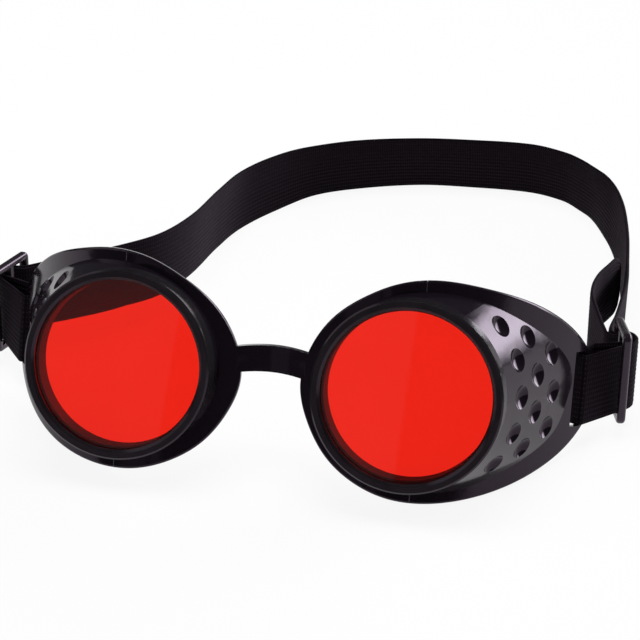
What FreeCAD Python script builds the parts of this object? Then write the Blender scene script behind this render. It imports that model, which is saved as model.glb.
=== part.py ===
"""Goggles with screw-on lens rings and an elastic strap, leaning back as they stand on a table.

Millimetres and degrees. The eye frame, rings, lenses and their threads are drawn upright, with the
lens axes along Y, the wearer's face behind and the lens rings' front faces on Y = 0. Everything is
then leaned back and lifted until the rims stand on Z = 0. Left and right are the wearer's own.
"""
import FreeCAD
import Part
import Sketcher
import math
import os
from types import SimpleNamespace

from FreeCAD import Placement, Rotation, Vector

SIZES = {
    # Lenses and their screw-on rings
    "lens_diameter": 50,
    "lens_thickness": 2,
    "lens_spacing": 81.4,
    "lens_chamfer": 0.3,
    "bezel_wall": 0.8,
    "bezel_height": 7,
    "bezel_overlap": 1.25,
    "bezel_lip": 1.6,
    "bezel_front_chamfer": 0.5,
    "bezel_aperture_chamfer": 0.8,
    "pocket_gap": 0.1,
    "seat_gap": 0.1,
    # Screw threads
    "thread_pitch": 2,
    "thread_root_width": 1,
    "thread_crest_width": 0.5,
    "thread_root_sink": 0.25,
    "thread_gap": 0.3,
    "neck_wall": 1.6,
    "neck_thread_depth": 0.55,
    "neck_thread_turns": 1.1,
    "bezel_thread_depth": 0.6,
    "bezel_thread_turns": 0.85,
    "bezel_thread_run_in": 0.8,
    # Eye cups
    "shoulder_gap": 0.3,
    "collar_inset": 0.1,
    "cup_wall": 2.4,
    "cup_reach": 41.7,
    "cup_depth": 46,
    "dimple_diameter": 7,
    "dimple_depth": 1.7,
    # Face rims and nose bridge
    "face_margin": 1.5,
    "face_near_depth": 9.2,
    "face_sweep": 45.7,
    "rim_nose_reach": 32.1,
    "rim_margin": 4.4,
    "rim_height": 62,
    "rim_thickness": 2,
    "rim_round": 0.6,
    "bridge_height": 7.4,
    "bridge_thickness": 3,
    "bridge_lift": 3.9,
    "bridge_arch": 1.4,
    "bridge_overlap": 4.4,
    # Strap and its slots in the rims
    "strap_width": 20,
    "strap_thickness": 1.2,
    "strap_gap": 0.4,
    "strap_reach": 197.5,
    "strap_tip_lift": 1.5,
    "slot_margin": 4.2,
    "slot_end_gap": 0.8,
    "slot_width": 4.4,
    "slot_depth": 9,
    # Strap sliders
    "slider_bar": 2.6,
    "slider_pitch": 8,
    "slider_rail": 2.4,
    "slider_side_gap": 1.2,
    "slider_round": 1,
    "slider_corner": 2,
    "slider_outset": 6.8,
    "slider_setback": 6.8,
    "slider_toe_in": 13.5,
    "left_slider_rise": 2,
    "right_slider_rise": 3,
    "left_slider_lean": 12,
    "right_slider_lean": 4,
    # Stance
    "lean_angle": 21.7,
    "overrun": 20,
}

# Sizes that follow from the ones above, as formulas of the same sheet
FOLLOWING = {
    "lens_radius": "lens_diameter / 2",
    "lens_offset": "lens_spacing / 2",
    "aperture_radius": "lens_radius - bezel_overlap",
    "pocket_radius": "lens_radius + pocket_gap",
    "thread_bore_radius": "pocket_radius + bezel_thread_depth",
    "bezel_radius": "thread_bore_radius + bezel_wall",
    "lens_front": "bezel_lip + seat_gap",
    "pocket_end": "lens_front + lens_thickness",
    "neck_front": "pocket_end + seat_gap",
    "neck_radius": "pocket_radius - thread_gap",
    "neck_bore_radius": "neck_radius - neck_wall",
    "neck_thread_start": "neck_front + thread_root_width",
    "bezel_thread_start": "neck_front + bezel_thread_run_in",
    "bezel_thread_rise": "bezel_thread_turns * thread_pitch",
    "shoulder_depth": "bezel_height + shoulder_gap",
    "collar_radius": "bezel_radius - collar_inset",
    "rim_temple_reach": "cup_reach + rim_margin",
    "rim_nose_offset": "lens_offset - rim_nose_reach",
    "rim_temple_offset": "lens_offset + rim_temple_reach",
    "face_half_width": "rim_temple_offset + face_margin",
    "slot_offset": "rim_temple_offset - slot_margin",
    "slot_length": "strap_width + 2 * slot_end_gap",
    "slider_window": "strap_width + 2 * slider_side_gap",
    "slider_tall": "slider_window + 2 * slider_rail",
    "slider_long": "2 * slider_pitch + slider_bar",
}

# Depth of the face curve along the width: shares of the half width and of the sweep
FACE_SHARES = [
    (0.0, 0.144),
    (0.113, 0.099),
    (0.227, 0.035),
    (0.351, 0.0),
    (0.51, 0.037),
    (0.68, 0.199),
    (0.85, 0.534),
    (1.0, 1.0),
    (1.11, 1.46),
]

# A rim's outline from the nose to the temple: shares of its width, and of its half height above and
# below the middle
RIM_SHARES = [
    (0.0, 0.0, 0.0),
    (0.04, 0.34, 0.41),
    (0.12, 0.615, 0.69),
    (0.224, 0.81, 0.87),
    (0.342, 0.95, 0.975),
    (0.477, 1.0, 1.0),
    (0.625, 0.95, 0.945),
    (0.787, 0.81, 0.795),
    (0.93, 0.51, 0.51),
    (1.0, 0.0, 0.0),
]

# Upper half of a cup's flare at its full depth: turn from the temple side and share of the reach
FLARE_SHARES = [
    (0, 1.0),
    (20, 1.02),
    (40, 1.04),
    (60, 1.1),
    (75, 1.07),
    (90, 0.91),
    (105, 0.72),
    (120, 0.66),
    (150, 0.65),
    (180, 0.65),
]

# Dimple rows from the lens ring outwards: share of the cup's depth, and the dimples' turns
DIMPLE_ROWS_SHARES = [
    (0.204, (-38, -18, 2, 22, 42)),
    (0.421, (-26, -7, 11, 30)),
    (0.638, (-15, 1, 18)),
]

# The free strap seen from above, from the left slider round to the right one: shares of the sliders'
# offset across, of the way back from them to the strap's reach, of the right slider's lift and of
# the frame's lean
STRAP_ROUTE_SHARES = [
    (0.979, 0.084, 0.44, 0.97),
    (0.983, 0.175, 0.35, 1.01),
    (0.984, 0.273, 0.25, 1.06),
    (0.969, 0.393, 0.13, 1.1),
    (0.949, 0.521, 0.05, 1.1),
    (0.916, 0.657, 0.0, 1.1),
    (0.884, 0.74, 0.0, 1.06),
    (0.849, 0.8, 0.0, 0.78),
    (0.782, 0.879, 0.0, -0.09),
    (0.718, 0.929, 0.0, -0.23),
    (0.647, 0.969, 0.0, -0.37),
    (0.514, 1.0, 0.0, -0.39),
    (0.281, 0.996, 0.0, -0.46),
    (0.086, 0.98, 0.0, -0.51),
    (-0.133, 0.93, 0.0, -0.39),
    (-0.292, 0.867, 0.0, -0.32),
    (-0.395, 0.788, 0.0, 0.23),
    (-0.499, 0.668, 0.03, 0.78),
    (-0.534, 0.521, 0.38, 1.1),
    (-0.552, 0.31, 1.0, 1.1),
    (-0.613, 0.19, 1.1, 0.88),
    (-0.733, 0.107, 1.08, 0.6),
    (-0.859, 0.05, 1.02, 0.37),
]

# The strap's loose ends, inside the loop, in the same shares and order
LEFT_TAIL_SHARES = [
    (0.948, 0.385, 0.49, 0.0),
    (0.922, 0.324, 0.56, 0.0),
    (0.899, 0.272, 0.64, -0.05),
    (0.889, 0.226, 0.71, -0.05),
    (0.887, 0.189, 0.77, 0.0),
    (0.891, 0.143, 0.83, 0.25),
    (0.904, 0.098, 0.88, 0.5),
]
RIGHT_TAIL_SHARES = [
    (-0.843, 0.045, 0.95, 0.15),
    (-0.749, 0.1, 0.9, 0.1),
    (-0.667, 0.165, 0.85, 0.1),
]

ARC_STEP = math.radians(20)
SPAN_STEPS = 3
FORWARD = Vector(0, -1, 0)
BACKWARD = Vector(0, 1, 0)
UP = Vector(0, 0, 1)
ACROSS = Vector(1, 0, 0)
ORIGIN = Vector(0, 0, 0)
SIDES = {"left": 1, "right": -1}

doc = FreeCAD.newDocument("goggles")
sheet = doc.addObject("Spreadsheet::Sheet", "Sizes")
formulas = {name: "=" + formula for name, formula in FOLLOWING.items()}
for row, (name, value) in enumerate({**SIZES, **formulas}.items(), start=1):
    sheet.set("A%d" % row, name)
    sheet.set("B%d" % row, str(value))
    sheet.setAlias("B%d" % row, name)
doc.recompute()
dim = SimpleNamespace(**{name: float(sheet.get(name)) for name in {**SIZES, **FOLLOWING}})


def add_feature(name, shape):
    """A free-form piece, whose sizes were read from the sheet."""
    feature = doc.addObject("Part::Feature", name)
    feature.Shape = shape
    return feature


def spline(points, closed=False):
    curve = Part.BSplineCurve()
    curve.interpolate(Points=points, PeriodicFlag=closed)
    return curve


def edges_of(curve):
    """The curve as several edges, joined at every third of its points."""
    knots = curve.getKnots()
    joints = knots[:-1:3] + knots[-1:]
    return [curve.toShape(first, last) for first, last in zip(joints[:-1], joints[1:])]


def prism(edges, travel):
    """A solid along a travel from the edges of its closed outline."""
    wire = Part.Wire(Part.__sortEdges__(edges))
    return Part.Face(wire).extrude(travel)


# Face curve


def face_points():
    half = []
    for across, depth in FACE_SHARES:
        x = across * dim.face_half_width
        y = dim.face_near_depth + depth * dim.face_sweep
        half.append(Vector(x, y, 0))
    mirrored = [Vector(-p.x, p.y, 0) for p in reversed(half[1:])]
    return mirrored + half


face_curve = spline(face_points())


def face_normal(curve, point):
    """Unit normal of the face curve at a point on it, towards the face."""
    along = curve.tangent(curve.parameter(point))[0]
    return Vector(-along.y, along.x, 0)


def face_at(x):
    """Point of the face curve at a distance from the nose."""
    cut = Part.LineSegment(Vector(x, -dim.cup_depth, 0), Vector(x, 3 * dim.cup_depth, 0))
    hit = face_curve.intersectCC(cut)[0]
    return Vector(hit.X, hit.Y, 0)


def face_offset(thickness):
    points = [p + face_normal(face_curve, p) * thickness for p in face_points()]
    return spline(points)


def face_band(thickness):
    """A sheet of even thickness behind the face curve, taller than the rims."""
    front = face_curve
    back = face_offset(thickness)
    sides = edges_of(front) + edges_of(back)
    sides.append(Part.LineSegment(front.EndPoint, back.EndPoint).toShape())
    sides.append(Part.LineSegment(back.StartPoint, front.StartPoint).toShape())
    height = dim.rim_height + dim.overrun
    band = prism(sides, UP * height)
    band.translate(UP * (-height / 2))
    return band


def behind_face(thickness):
    """All the room on the face's side of the rims."""
    back = face_offset(thickness)
    far_y = back.EndPoint.y + dim.overrun
    left_far = Vector(back.EndPoint.x, far_y, 0)
    right_far = Vector(back.StartPoint.x, far_y, 0)
    sides = edges_of(back)
    sides.append(Part.LineSegment(back.EndPoint, left_far).toShape())
    sides.append(Part.LineSegment(left_far, right_far).toShape())
    sides.append(Part.LineSegment(right_far, back.StartPoint).toShape())
    height = 2 * dim.rim_height + dim.overrun
    room = prism(sides, UP * height)
    room.translate(UP * (-height / 2))
    return room


# Eye cups


def both_halves(upper):
    """A closed outline from its upper half, whose first and last points lie on the middle line."""
    lower = [Vector(p.x, p.y, -p.z) for p in reversed(upper[1:-1])]
    return upper + lower


def round_section(radius, depth):
    upper = []
    for turn, _share in FLARE_SHARES:
        angle = math.radians(turn)
        upper.append(Vector(dim.lens_offset + radius * math.cos(angle), depth, radius * math.sin(angle)))
    return spline(both_halves(upper), closed=True)


def flare_section(inset, depth):
    upper = []
    for turn, share in FLARE_SHARES:
        angle = math.radians(turn)
        radius = share * dim.cup_reach - inset
        upper.append(Vector(dim.lens_offset + radius * math.cos(angle), depth, radius * math.sin(angle)))
    return spline(both_halves(upper), closed=True)


def cup_loft(front, back):
    return Part.makeLoft([Part.Wire(edges_of(curve)) for curve in (front, back)], True, True)


def rim_plate():
    """The rim round one eye, cut from the face band and rounded at its edges."""
    width = dim.rim_temple_offset - dim.rim_nose_offset
    half_height = dim.rim_height / 2
    upper, lower = [], []
    for across, above, below in RIM_SHARES:
        x = dim.rim_nose_offset + across * width
        upper.append(Vector(x, -dim.overrun, above * half_height))
        lower.append(Vector(x, -dim.overrun, -below * half_height))
    outline = spline(upper + lower[-2:0:-1], closed=True)
    depth = dim.face_near_depth + dim.face_sweep + 3 * dim.overrun
    blank = prism(edges_of(outline), BACKWARD * depth)
    plate = face_band(dim.rim_thickness).common(blank)
    rounded = [edge for edge in plate.Edges if not isinstance(edge.Curve, Part.Line)]
    return plate.makeFillet(dim.rim_round, rounded)


def onto_lens_axis(shape, side, depth):
    """Turns a piece drawn along Z so that its Z runs back along a lens axis from a depth."""
    placed = shape.copy()
    placed.Placement = Placement(Vector(side * dim.lens_offset, depth, 0), Rotation(ACROSS, -90))
    return placed


def neck_thread():
    """One helical ridge about Z, from Z = 0 up, its root sunk into the neck."""
    sunk_radius = dim.neck_radius - dim.thread_root_sink
    crest_radius = dim.neck_radius + dim.neck_thread_depth
    corners = [
        Vector(sunk_radius, 0, -dim.thread_root_width / 2),
        Vector(crest_radius, 0, -dim.thread_crest_width / 2),
        Vector(crest_radius, 0, dim.thread_crest_width / 2),
        Vector(sunk_radius, 0, dim.thread_root_width / 2),
    ]
    section = Part.makePolygon(corners + corners[:1])
    path = Part.makeHelix(dim.thread_pitch, dim.neck_thread_turns * dim.thread_pitch, dim.neck_radius)
    return Part.Wire(path.Edges).makePipeShell([section], True, True)


def cup_dimples(collar, flare):
    """Balls that press the staggered dimples into the temple wall."""
    mouth = dim.dimple_diameter / 2
    ball = (mouth ** 2 + dim.dimple_depth ** 2) / (2 * dim.dimple_depth)
    cutters = []
    for share, turns in DIMPLE_ROWS_SHARES:
        for turn in turns:
            start, finish = [section_point(curve, turn) for curve in (collar, flare)]
            centre = start + (finish - start) * share
            beside = section_point(collar, turn + 1) - section_point(collar, turn - 1)
            outward = beside.cross(finish - start).normalize()
            if outward.x < 0:
                outward = outward * -1
            # The ball's seam and poles stay outside the wall
            turned = Rotation(outward, ORIGIN, finish - start, "XZY")
            cutter = Part.makeSphere(ball)
            cutter.Placement = Placement(centre + outward * (ball - dim.dimple_depth), turned)
            cutters.append(cutter)
    return cutters


def section_point(curve, turn):
    """Where a cup section meets a ray from the lens axis at a turn from the temple side."""
    depth = curve.StartPoint.y
    angle = math.radians(turn)
    centre = Vector(dim.lens_offset, depth, 0)
    ray = Vector(math.cos(angle), 0, math.sin(angle)) * (2 * dim.cup_reach)
    hit = curve.intersectCC(Part.LineSegment(centre, centre + ray))[0]
    return Vector(hit.X, hit.Y, hit.Z)


def strap_slot():
    """Cutter for the slot that the strap passes through, square to the rim."""
    centre = face_at(dim.slot_offset)
    normal = face_normal(face_curve, centre)
    slot = Part.makeBox(dim.slot_width, dim.slot_depth, dim.slot_length)
    slot.translate(Vector(-dim.slot_width / 2, -dim.slot_depth / 2, -dim.slot_length / 2))
    slot.Placement = Placement(centre, Rotation(BACKWARD, normal)).multiply(slot.Placement)
    return slot


def eye_half():
    """The wearer's left eye: neck, shoulder, flared cup and rim, without the thread."""
    collar = round_section(dim.collar_radius, dim.shoulder_depth)
    flare = flare_section(0, dim.cup_depth)
    cup = cup_loft(collar, flare).cut(behind_face(dim.rim_thickness))
    inner_front = round_section(dim.collar_radius - dim.cup_wall, dim.shoulder_depth + dim.cup_wall)
    inner_back = flare_section(dim.cup_wall, dim.cup_depth)
    hollow = cup_loft(inner_front, inner_back)
    neck_length = dim.shoulder_depth + dim.cup_wall - dim.neck_front
    neck = Part.makeCylinder(dim.neck_radius, neck_length)
    bore = Part.makeCylinder(dim.neck_bore_radius, neck_length + dim.overrun)
    eye = cup.fuse(rim_plate())
    eye = eye.cut(hollow)
    eye = eye.fuse(onto_lens_axis(neck, 1, dim.neck_front))
    eye = eye.cut(onto_lens_axis(bore, 1, dim.neck_front - dim.overrun / 2))
    eye = eye.cut(cup_dimples(collar, flare))
    return eye.cut(strap_slot())


def half_bridge():
    """The wearer's left half of an arched bar across the nose, following the face curve."""
    end_x = dim.rim_nose_offset + dim.bridge_overlap
    ends = []
    for edge in (1, -1):
        middle_z = dim.bridge_lift + edge * dim.bridge_height / 2
        end_z = middle_z - dim.bridge_arch
        ends.append((
            Vector(-end_x, 0, end_z),
            Vector(0, 0, middle_z),
            Vector(end_x, 0, end_z),
        ))
    upper, lower = ends
    sides = [
        Part.Arc(*upper).toShape(),
        Part.LineSegment(upper[2], lower[2]).toShape(),
        Part.Arc(*lower).toShape(),
        Part.LineSegment(lower[0], upper[0]).toShape(),
    ]
    bar = prism(sides, BACKWARD * dim.cup_depth).common(face_band(dim.bridge_thickness))
    room = Part.makeBox(end_x, dim.cup_depth, dim.rim_height, Vector(0, 0, -dim.rim_height / 2))
    return bar.common(room)


def frame_shape():
    left = eye_half().fuse(half_bridge())
    shape = left.fuse(left.mirror(ORIGIN, ACROSS)).removeSplitter()
    # Both threads are right-handed, so they join after the mirror
    for side in SIDES.values():
        shape = shape.fuse(onto_lens_axis(neck_thread(), side, dim.neck_thread_start))
    return shape


# Stance: the rims lean back and stand on the table, with depths measured from the lenses

lean = Rotation(ACROSS, -dim.lean_angle)
frame = add_feature("frame", frame_shape())
temple_depth = frame.Shape.BoundBox.YMax
leaned = frame.Shape.copy()
leaned.Placement = Placement(ORIGIN, lean)
stance = Placement(UP * -leaned.optimalBoundingBox().ZMin, lean)
frame.Placement = stance


# Lens rings and lenses


def add_sketch(body, name, corners):
    """A closed outline on the body's XZ plane, each corner bound to a pair of formulas."""
    sketch = body.newObject("Sketcher::SketchObject", name)
    plane = [item for item in body.Origin.OriginFeatures if item.Role == "XZ_Plane"][0]
    sketch.AttachmentSupport = [(plane, "")]
    sketch.MapMode = "FlatFace"
    points = [Vector(*[float(sketch.evalExpression(text)) for text in pair], 0) for pair in corners]
    for start, finish in zip(points, points[1:] + points[:1]):
        sketch.addGeometry(Part.LineSegment(start, finish), False)
    for index in range(len(points)):
        following = (index + 1) % len(points)
        sketch.addConstraint(Sketcher.Constraint("Coincident", index, 2, following, 1))
    for index, pair in enumerate(corners):
        for kind, axis, text, value in zip(("DistanceX", "DistanceY"), (-2, -1), pair, points[index]):
            if text == "0":
                sketch.addConstraint(Sketcher.Constraint("PointOnObject", index, 1, axis))
            else:
                place = sketch.addConstraint(Sketcher.Constraint(kind, -1, 1, index, 1, value))
                sketch.setExpression("Constraints[%d]" % place, text)
    return sketch


def add_revolution(body, name, corners):
    sketch = add_sketch(body, name + "_outline", corners)
    turned = body.newObject("PartDesign::Revolution", name)
    turned.Profile = sketch
    turned.ReferenceAxis = (sketch, ["V_Axis"])
    doc.recompute()
    return turned


def add_bezel(name, side):
    """A flat-faced ring with a lip over the lens and a thread inside, its front on local Z = 0."""
    body = doc.addObject("PartDesign::Body", name)
    add_revolution(body, name + "_ring", [
        ("Sizes.aperture_radius + Sizes.bezel_aperture_chamfer", "0"),
        ("Sizes.bezel_radius - Sizes.bezel_front_chamfer", "0"),
        ("Sizes.bezel_radius", "Sizes.bezel_front_chamfer"),
        ("Sizes.bezel_radius", "Sizes.bezel_height"),
        ("Sizes.thread_bore_radius", "Sizes.bezel_height"),
        ("Sizes.thread_bore_radius", "Sizes.pocket_end"),
        ("Sizes.pocket_radius", "Sizes.pocket_end"),
        ("Sizes.pocket_radius", "Sizes.bezel_lip"),
        ("Sizes.aperture_radius", "Sizes.bezel_lip"),
        ("Sizes.aperture_radius", "Sizes.bezel_aperture_chamfer"),
    ])
    ridge = add_sketch(body, name + "_ridge_outline", [
        ("Sizes.thread_bore_radius + Sizes.thread_root_sink",
         "Sizes.bezel_thread_start - Sizes.thread_root_width / 2"),
        ("Sizes.pocket_radius", "Sizes.bezel_thread_start - Sizes.thread_crest_width / 2"),
        ("Sizes.pocket_radius", "Sizes.bezel_thread_start + Sizes.thread_crest_width / 2"),
        ("Sizes.thread_bore_radius + Sizes.thread_root_sink",
         "Sizes.bezel_thread_start + Sizes.thread_root_width / 2"),
    ])
    thread = body.newObject("PartDesign::AdditiveHelix", name + "_thread")
    thread.Profile = ridge
    thread.ReferenceAxis = (ridge, ["V_Axis"])
    thread.Mode = "pitch-height-angle"
    thread.setExpression("Pitch", "Sizes.thread_pitch")
    thread.setExpression("Height", "Sizes.bezel_thread_rise")
    thread.Angle = 0
    body.Tip = thread
    # Turned home, the ring's ridge runs midway between the turns of the neck's ridge
    lead = dim.bezel_thread_start - dim.neck_thread_start + dim.thread_pitch / 2
    home_turn = Rotation(UP, 360 * lead / dim.thread_pitch)
    axis = Placement(Vector(side * dim.lens_offset, 0, 0), Rotation(ACROSS, -90).multiply(home_turn))
    body.Placement = stance.multiply(axis)
    return body


def add_lens(name, side):
    body = doc.addObject("PartDesign::Body", name)
    add_revolution(body, name + "_disc", [
        ("0", "0"),
        ("Sizes.lens_radius - Sizes.lens_chamfer", "0"),
        ("Sizes.lens_radius", "Sizes.lens_chamfer"),
        ("Sizes.lens_radius", "Sizes.lens_thickness - Sizes.lens_chamfer"),
        ("Sizes.lens_radius - Sizes.lens_chamfer", "Sizes.lens_thickness"),
        ("0", "Sizes.lens_thickness"),
    ])
    axis = Placement(Vector(side * dim.lens_offset, dim.lens_front, 0), Rotation(ACROSS, -90))
    body.Placement = stance.multiply(axis)
    return body


bezels = [add_bezel(name + "_bezel", side) for name, side in SIDES.items()]
lenses = [add_lens(name + "_lens", side) for name, side in SIDES.items()]


# Strap sliders


def temple_tip(side):
    """Middle of the round at a rim's temple edge, as it stands on the table."""
    x = dim.rim_temple_offset - dim.rim_round
    return stance.multVec(Vector(side * x, temple_depth - dim.rim_round, 0))


def slider_rise(side):
    return dim.left_slider_rise if side > 0 else dim.right_slider_rise


def slider_lean(side):
    return dim.left_slider_lean if side > 0 else dim.right_slider_lean


def slider_place(side):
    """A slider's middle, its local X running back along the strap and its Z along the bars."""
    shift = Vector(side * dim.slider_outset, dim.slider_setback, slider_rise(side))
    heading = Rotation(UP, 90 + side * dim.slider_toe_in)
    return Placement(temple_tip(side) + shift, Rotation(ACROSS, -slider_lean(side)).multiply(heading))


def bar_line(half, start, finish):
    """Corners of an upright box outline between two formulas along the strap."""
    return [(start, "-" + half), (finish, "-" + half), (finish, half), (start, half)]


def add_slider(name, side):
    """Three upright bars in a flat rounded frame."""
    body = doc.addObject("PartDesign::Body", name)
    outer = add_sketch(body, name + "_outline", bar_line(
        "Sizes.slider_tall / 2", "-Sizes.slider_long / 2", "Sizes.slider_long / 2"))
    plate = body.newObject("PartDesign::Pad", name + "_plate")
    plate.Profile = outer
    plate.Midplane = True
    plate.setExpression("Length", "Sizes.slider_bar")
    window = add_sketch(body, name + "_window_outline", bar_line(
        "Sizes.slider_window / 2", "Sizes.slider_bar / 2", "Sizes.slider_pitch - Sizes.slider_bar / 2"))
    opening = body.newObject("PartDesign::Pocket", name + "_window")
    opening.Profile = window
    opening.Midplane = True
    opening.Type = "ThroughAll"
    doc.recompute()
    both = body.newObject("PartDesign::Mirrored", name + "_windows")
    both.Originals = [opening]
    both.MirrorPlane = (window, ["V_Axis"])
    body.Tip = both
    doc.recompute()
    corners = body.newObject("PartDesign::Fillet", name + "_corners")
    corners.Base = (both, outer_corners(both.Shape))
    corners.setExpression("Radius", "Sizes.slider_corner")
    doc.recompute()
    rounds = body.newObject("PartDesign::Fillet", name + "_rounds")
    rounds.Base = (corners, face_edges(corners.Shape))
    rounds.setExpression("Radius", "Sizes.slider_round")
    body.Tip = rounds
    body.Placement = slider_place(side)
    return body


def outer_corners(shape):
    """Names of the four edges at the plate's outer corners."""
    box = shape.BoundBox
    names = []
    for index, edge in enumerate(shape.Edges, start=1):
        middle = edge.CenterOfMass
        at_end = math.isclose(abs(middle.x), box.XMax, rel_tol=1e-6)
        at_top = math.isclose(abs(middle.z), box.ZMax, rel_tol=1e-6)
        if at_end and at_top:
            names.append("Edge%d" % index)
    return names


def face_edges(shape):
    """Names of the edges round the plate's two flat faces."""
    box = shape.BoundBox
    names = []
    for index, edge in enumerate(shape.Edges, start=1):
        if math.isclose(abs(edge.CenterOfMass.y), box.YMax, rel_tol=1e-6):
            names.append("Edge%d" % index)
    return names


sliders = [add_slider(name + "_slider", side) for name, side in SIDES.items()]


# Strap


def bend(centre, radius, lean_angle):
    """One bend of the strap about an upright line, positive where it turns to the left."""
    return SimpleNamespace(centre=centre, radius=radius, lean=lean_angle)


def station(middle, heading, lean_angle):
    """A place along the strap: its middle, its heading on the table and the lean of its width."""
    return SimpleNamespace(middle=middle, heading=heading, lean=lean_angle)


def far_bar(side):
    return slider_place(side).multVec(ACROSS * dim.slider_pitch)


def standing(lean_angle):
    """Height of the strap's middle where its lower edge is on the table."""
    angle = math.radians(abs(lean_angle))
    return (dim.strap_width * math.cos(angle) + dim.strap_thickness * math.sin(angle)) / 2


def lift(place):
    """How far the strap's lower edge is off the table."""
    return place.middle.z - standing(place.lean)


def free_points(shares):
    """Stations of the free strap without headings, on the table or rising towards the sliders."""
    bar = far_bar(1)
    full_lift = far_bar(-1).z - standing(dim.right_slider_lean)
    points = []
    for across, back, rise, lean_share in shares:
        lean_angle = lean_share * dim.lean_angle
        depth = bar.y + back * (dim.strap_reach - bar.y)
        height = standing(lean_angle) + rise * full_lift
        points.append(station(Vector(across * bar.x, depth, height), None, lean_angle))
    return points


def loop_bends(side):
    """Bends from the strap's tail through the slider, round the rim's slot and back out."""
    half = dim.slider_bar / 2
    bar_reach = (half - dim.slider_round) * math.sqrt(2) + dim.slider_round
    inner = bar_reach + dim.strap_gap + dim.strap_thickness / 2
    outer = inner + dim.strap_thickness + dim.strap_gap
    edge = dim.strap_gap + dim.strap_thickness / 2
    middle_bar = slider_place(side).Base
    slot = face_at(dim.slot_offset)
    behind = face_normal(face_curve, slot)
    outward = Vector(behind.y, -behind.x, 0)
    slot_front = slot + outward * (dim.slot_width / 2)
    slot_back = slot_front + behind * dim.rim_thickness
    slot_ends = [stance.multVec(Vector(side * p.x, p.y, 0)) for p in (slot_back, slot_front)]
    tip = temple_tip(side) + lean.multVec(UP * dim.strap_tip_lift)
    return [
        bend(far_bar(side), outer, slider_lean(side)),
        bend(middle_bar, -inner, slider_lean(side)),
        bend(tip, dim.rim_round + edge, dim.lean_angle),
        bend(slot_ends[0], edge, dim.lean_angle),
        bend(slot_ends[1], edge, dim.lean_angle),
        bend(middle_bar, outer, slider_lean(side)),
        bend(far_bar(side), -inner, slider_lean(side)),
    ]


def heading_between(first, second):
    """Direction of the straight run between two bends, as an angle on the table."""
    across = second.centre - first.centre
    reach = math.hypot(across.x, across.y)
    return math.atan2(across.y, across.x) - math.asin((second.radius - first.radius) / reach)


def loop_stations(before, bends, after):
    """Stations round the bends, coming from one point and leaving for another."""
    ends = [bend(before, 0, 0), *bends, bend(after, 0, 0)]
    headings = [heading_between(*pair) for pair in zip(ends[:-1], ends[1:])]
    stations = []
    for item, arrive, leave in zip(bends, headings[:-1], headings[1:]):
        hand = math.copysign(1, item.radius)
        turn = hand * ((leave - arrive) * hand % math.tau)
        steps = max(1, math.ceil(abs(turn) / ARC_STEP))
        for step in range(steps + 1):
            heading = arrive + turn * step / steps
            left = Vector(-math.sin(heading), math.cos(heading), 0)
            stations.append(station(item.centre - left * item.radius, heading, item.lean))
    return stations


def free_stations(points, arrive=None, leave=None):
    """Stations along a smooth run through points, between the loops it comes from and goes to."""
    path = list(points)
    first_heading, last_heading = path[1].middle - path[0].middle, path[-1].middle - path[-2].middle
    if arrive:
        path.insert(0, arrive)
        first_heading = Vector(math.cos(arrive.heading), math.sin(arrive.heading), 0)
    if leave:
        path.append(leave)
        last_heading = Vector(math.cos(leave.heading), math.sin(leave.heading), 0)
    curve = Part.BSplineCurve()
    flat = [Vector(place.middle.x, place.middle.y, 0) for place in path]
    first_heading.z = last_heading.z = 0
    curve.interpolate(Points=flat, InitialTangent=first_heading, FinalTangent=last_heading)
    knots = curve.getKnots()
    stations = []
    for index in range(len(path) - 1):
        start, finish = path[index], path[index + 1]
        for step in range(SPAN_STEPS):
            share = step / SPAN_STEPS
            where = knots[index] + share * (knots[index + 1] - knots[index])
            lean_angle = start.lean + share * (finish.lean - start.lean)
            middle = curve.value(where)
            middle.z = standing(lean_angle) + lift(start) + share * (lift(finish) - lift(start))
            along = curve.tangent(where)[0]
            stations.append(station(middle, math.atan2(along.y, along.x), lean_angle))
    if not leave:
        along = curve.tangent(knots[-1])[0]
        stations.append(station(path[-1].middle, math.atan2(along.y, along.x), path[-1].lean))
    return stations[1:] if arrive else stations


def strap_section(place):
    """The strap's rectangle at a station."""
    along = Vector(math.cos(place.heading), math.sin(place.heading), 0)
    height = Rotation(ACROSS, -place.lean).multVec(UP)
    thick = along.cross(height).normalize() * (dim.strap_thickness / 2)
    half = height * (dim.strap_width / 2)
    corners = [thick * x + half * z for x, z in ((-1, -1), (1, -1), (1, 1), (-1, 1))]
    corners = [place.middle + corner for corner in corners]
    return Part.makePolygon(corners + corners[:1])


def strap_shape():
    left_tail = free_points(LEFT_TAIL_SHARES)
    route = free_points(STRAP_ROUTE_SHARES)
    right_tail = free_points(RIGHT_TAIL_SHARES)
    left_loop = loop_stations(left_tail[-1].middle, loop_bends(1), route[0].middle)
    right_loop = loop_stations(route[-1].middle, loop_bends(-1)[::-1], right_tail[0].middle)
    stations = free_stations(left_tail, leave=left_loop[0]) + left_loop
    stations += free_stations(route, arrive=left_loop[-1], leave=right_loop[0]) + right_loop
    stations += free_stations(right_tail, arrive=right_loop[-1])
    return Part.makeLoft([strap_section(place) for place in stations], True, True)


strap = add_feature("elastic_strap", strap_shape())


# The origin moves under the middle of the whole

pieces = [frame, *bezels, *lenses, *sliders, strap]
doc.recompute()
depths = [piece.Shape.optimalBoundingBox() for piece in pieces]
middle_y = (min(box.YMin for box in depths) + max(box.YMax for box in depths)) / 2
for piece in pieces:
    piece.Placement = Placement(FORWARD * middle_y, Rotation()).multiply(piece.Placement)


# Checks and files

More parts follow.
